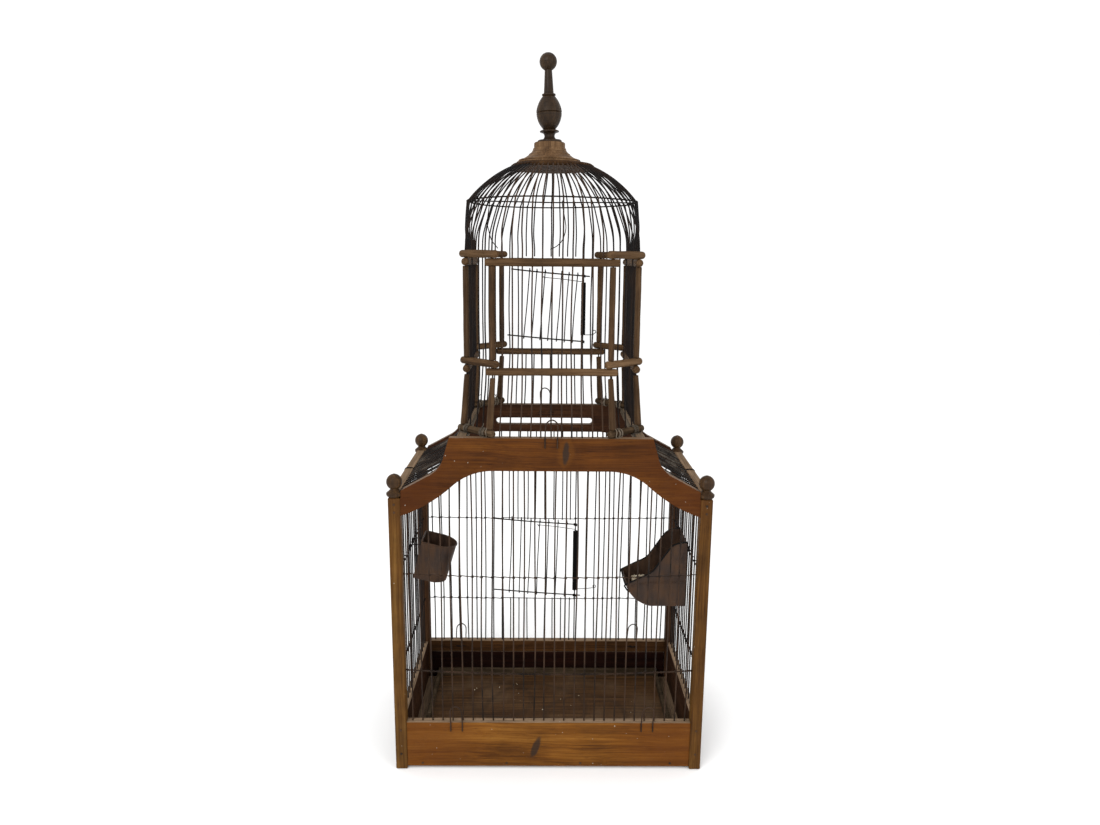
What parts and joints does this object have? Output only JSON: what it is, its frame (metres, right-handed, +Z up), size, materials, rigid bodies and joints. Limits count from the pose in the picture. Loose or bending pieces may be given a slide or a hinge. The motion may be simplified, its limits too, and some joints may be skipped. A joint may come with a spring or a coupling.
{
  "type": "bird cage",
  "caption": "Two-tier table-top bird cage: wooden lower room with sliding tray, eight-sided wire turret with dome and spire, two sprung doors and two hanging feeders.",
  "frame": {"origin": "on the floor, under the middle of the cage", "axes": "+X to the right, the front faces -Y, +Z up"},
  "size_m": [0.4052, 0.2432, 0.9108],
  "materials": {
    "board_wood": "worn varnish",
    "post_wood": "worn varnish",
    "dowel_wood": "weathered, dull",
    "crown_wood": "worn varnish",
    "grey_wood": "bare, weathered",
    "wire": "rusted",
    "nail_iron": "rusted",
    "tinplate": "dull, rusted"
  },
  "bodies": {
    "cage": {"back_arch_board": "board_wood", "back_bottom_rail": "board_wood", "back_tie_wires": "wire", "back_wall_wires": "wire", "base_rails": "dowel_wood", "corner_finials": "post_wood", "crown_cap": "crown_wood", "crown_plate": "crown_wood", "dome_cross_wire": "wire", "dome_ring": "wire", "dome_wires": "wire", "front_arch_board": "board_wood", "front_bottom_board": "board_wood", "front_tie_wires": "wire", "front_wall_wires": "wire", "left_bottom_board": "board_wood", "left_eave_rail": "grey_wood", "left_roof_wires": "wire", "left_turret_sill": "grey_wood", "left_wall_wires": "wire", "loose_wires": "wire", "lower_door_spring": "wire", "lower_gallery_posts": "dowel_wood", "middle_rails": "dowel_wood", "nails": "nail_iron", "post_back_left": "post_wood", "post_back_right": "post_wood", "post_front_left": "post_wood", "post_front_right": "post_wood", "right_bottom_board": "board_wood", "right_eave_rail": "grey_wood", "right_roof_wires": "wire", "right_turret_sill": "grey_wood", "right_wall_wires": "wire", "side_tie_wires": "wire", "spire": "crown_wood", "top_rails": "dowel_wood", "tray_ledges": "grey_wood", "turret_back_wires": "wire", "turret_corner_wires": "wire", "turret_diagonal_wires": "wire", "turret_front_wires": "wire", "turret_left_wires": "wire", "turret_right_wires": "wire", "upper_door_spring": "wire", "upper_gallery_posts": "dowel_wood", "wire_loops": "wire"},
    "tray": {"tray_floor": "grey_wood", "tray_lips": "grey_wood", "tray_back_board": "board_wood"},
    "lower_door": {"lower_door_bars": "wire", "lower_door_wires": "wire"},
    "upper_door": {"upper_door_bars": "wire", "upper_door_wires": "wire"},
    "seed_cup": {"seed_cup": "tinplate", "seed_cup_hooks": "wire"},
    "hopper_feeder": {"hopper_feeder": "tinplate", "hopper_feeder_hooks": "wire"}
  },
  "joints": [
    {"name": "lower_door_swing", "type": "hinge", "parent": "cage", "child": "lower_door", "pos_m": [0.041, 0.112, 0.199], "axis": [0, 0, -1], "range_deg": [0, 110], "stiffness_Nm_per_rad": 0.02, "springref_deg": -20.05, "deforming": ["lower_door_spring"]},
    {"name": "upper_door_swing", "type": "hinge", "parent": "cage", "child": "upper_door", "pos_m": [0.04733, 0.1075, 0.5875], "axis": [0, 0, -1], "range_deg": [0, 110], "stiffness_Nm_per_rad": 0.02, "springref_deg": -20.05, "deforming": ["upper_door_spring"]},
    {"name": "tray_slide", "type": "slide", "parent": "cage", "child": "tray", "axis": [0, 1, 0], "range_m": [0, 0.2]},
    {"name": "seed_cup_lift", "type": "slide", "parent": "cage", "child": "seed_cup", "axis": [0, 0, 1], "range_m": [0, 0.012]},
    {"name": "hopper_feeder_lift", "type": "slide", "parent": "cage", "child": "hopper_feeder", "axis": [0, 0, 1], "range_m": [0, 0.012]}
  ]
}
